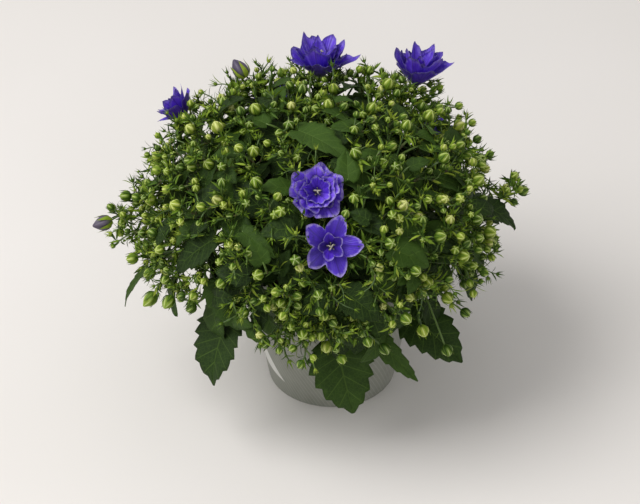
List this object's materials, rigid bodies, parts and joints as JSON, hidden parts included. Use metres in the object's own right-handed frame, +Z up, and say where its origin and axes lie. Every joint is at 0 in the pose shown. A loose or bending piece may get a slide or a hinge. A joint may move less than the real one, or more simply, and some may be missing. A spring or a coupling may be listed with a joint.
{
  "type": "potted bellflower",
  "caption": "Compact double-flowered bellflower in a round nursery pot: a dense mound of stems, toothed heart-shaped leaves, round green buds and deep violet-blue double bells.",
  "frame": {"origin": "centre of the pot's flat underside", "axes": "+Z up along the pot's axis, -Y towards the side that the picture shows, +X to that view's right"},
  "size_m": [0.2801, 0.2447, 0.2137],
  "materials": {
    "pot_plastic": "thin light grey nursery-pot plastic, fine ribbing, soft sheen",
    "potting_soil": "moist dark peat, crumbly",
    "foliage": "fresh green leaves, buds and stems, soft gloss",
    "petals": "deep violet-blue petals with darker veins, velvety"
  },
  "bodies": {
    "root": {"pot": "pot_plastic", "soil": "potting_soil", "shoot_01": "foliage", "shoot_02": "foliage", "shoot_03": "foliage", "shoot_04": "foliage", "shoot_05": "foliage", "shoot_06": "foliage", "shoot_07": "foliage", "shoot_08": "foliage", "shoot_09": "foliage", "shoot_10": "foliage", "shoot_11": "foliage", "shoot_12": "foliage", "shoot_13": "foliage", "shoot_14": "foliage", "shoot_15": "foliage", "shoot_16": "foliage", "shoot_17": "foliage", "shoot_18": "foliage", "shoot_19": "foliage", "shoot_20": "foliage", "shoot_21": "foliage", "shoot_22": "foliage", "shoot_23": "foliage", "shoot_24": "foliage", "shoot_25": "foliage", "shoot_26": "foliage", "shoot_27": "foliage", "shoot_28": "foliage", "shoot_29": "foliage", "bloom_back": "petals", "bloom_back_right": "petals", "bloom_centre": "petals", "bloom_front": "petals", "bloom_left": "petals", "bloom_top": "petals", "bloom_top_right": "petals"}
  },
  "joints": []
}
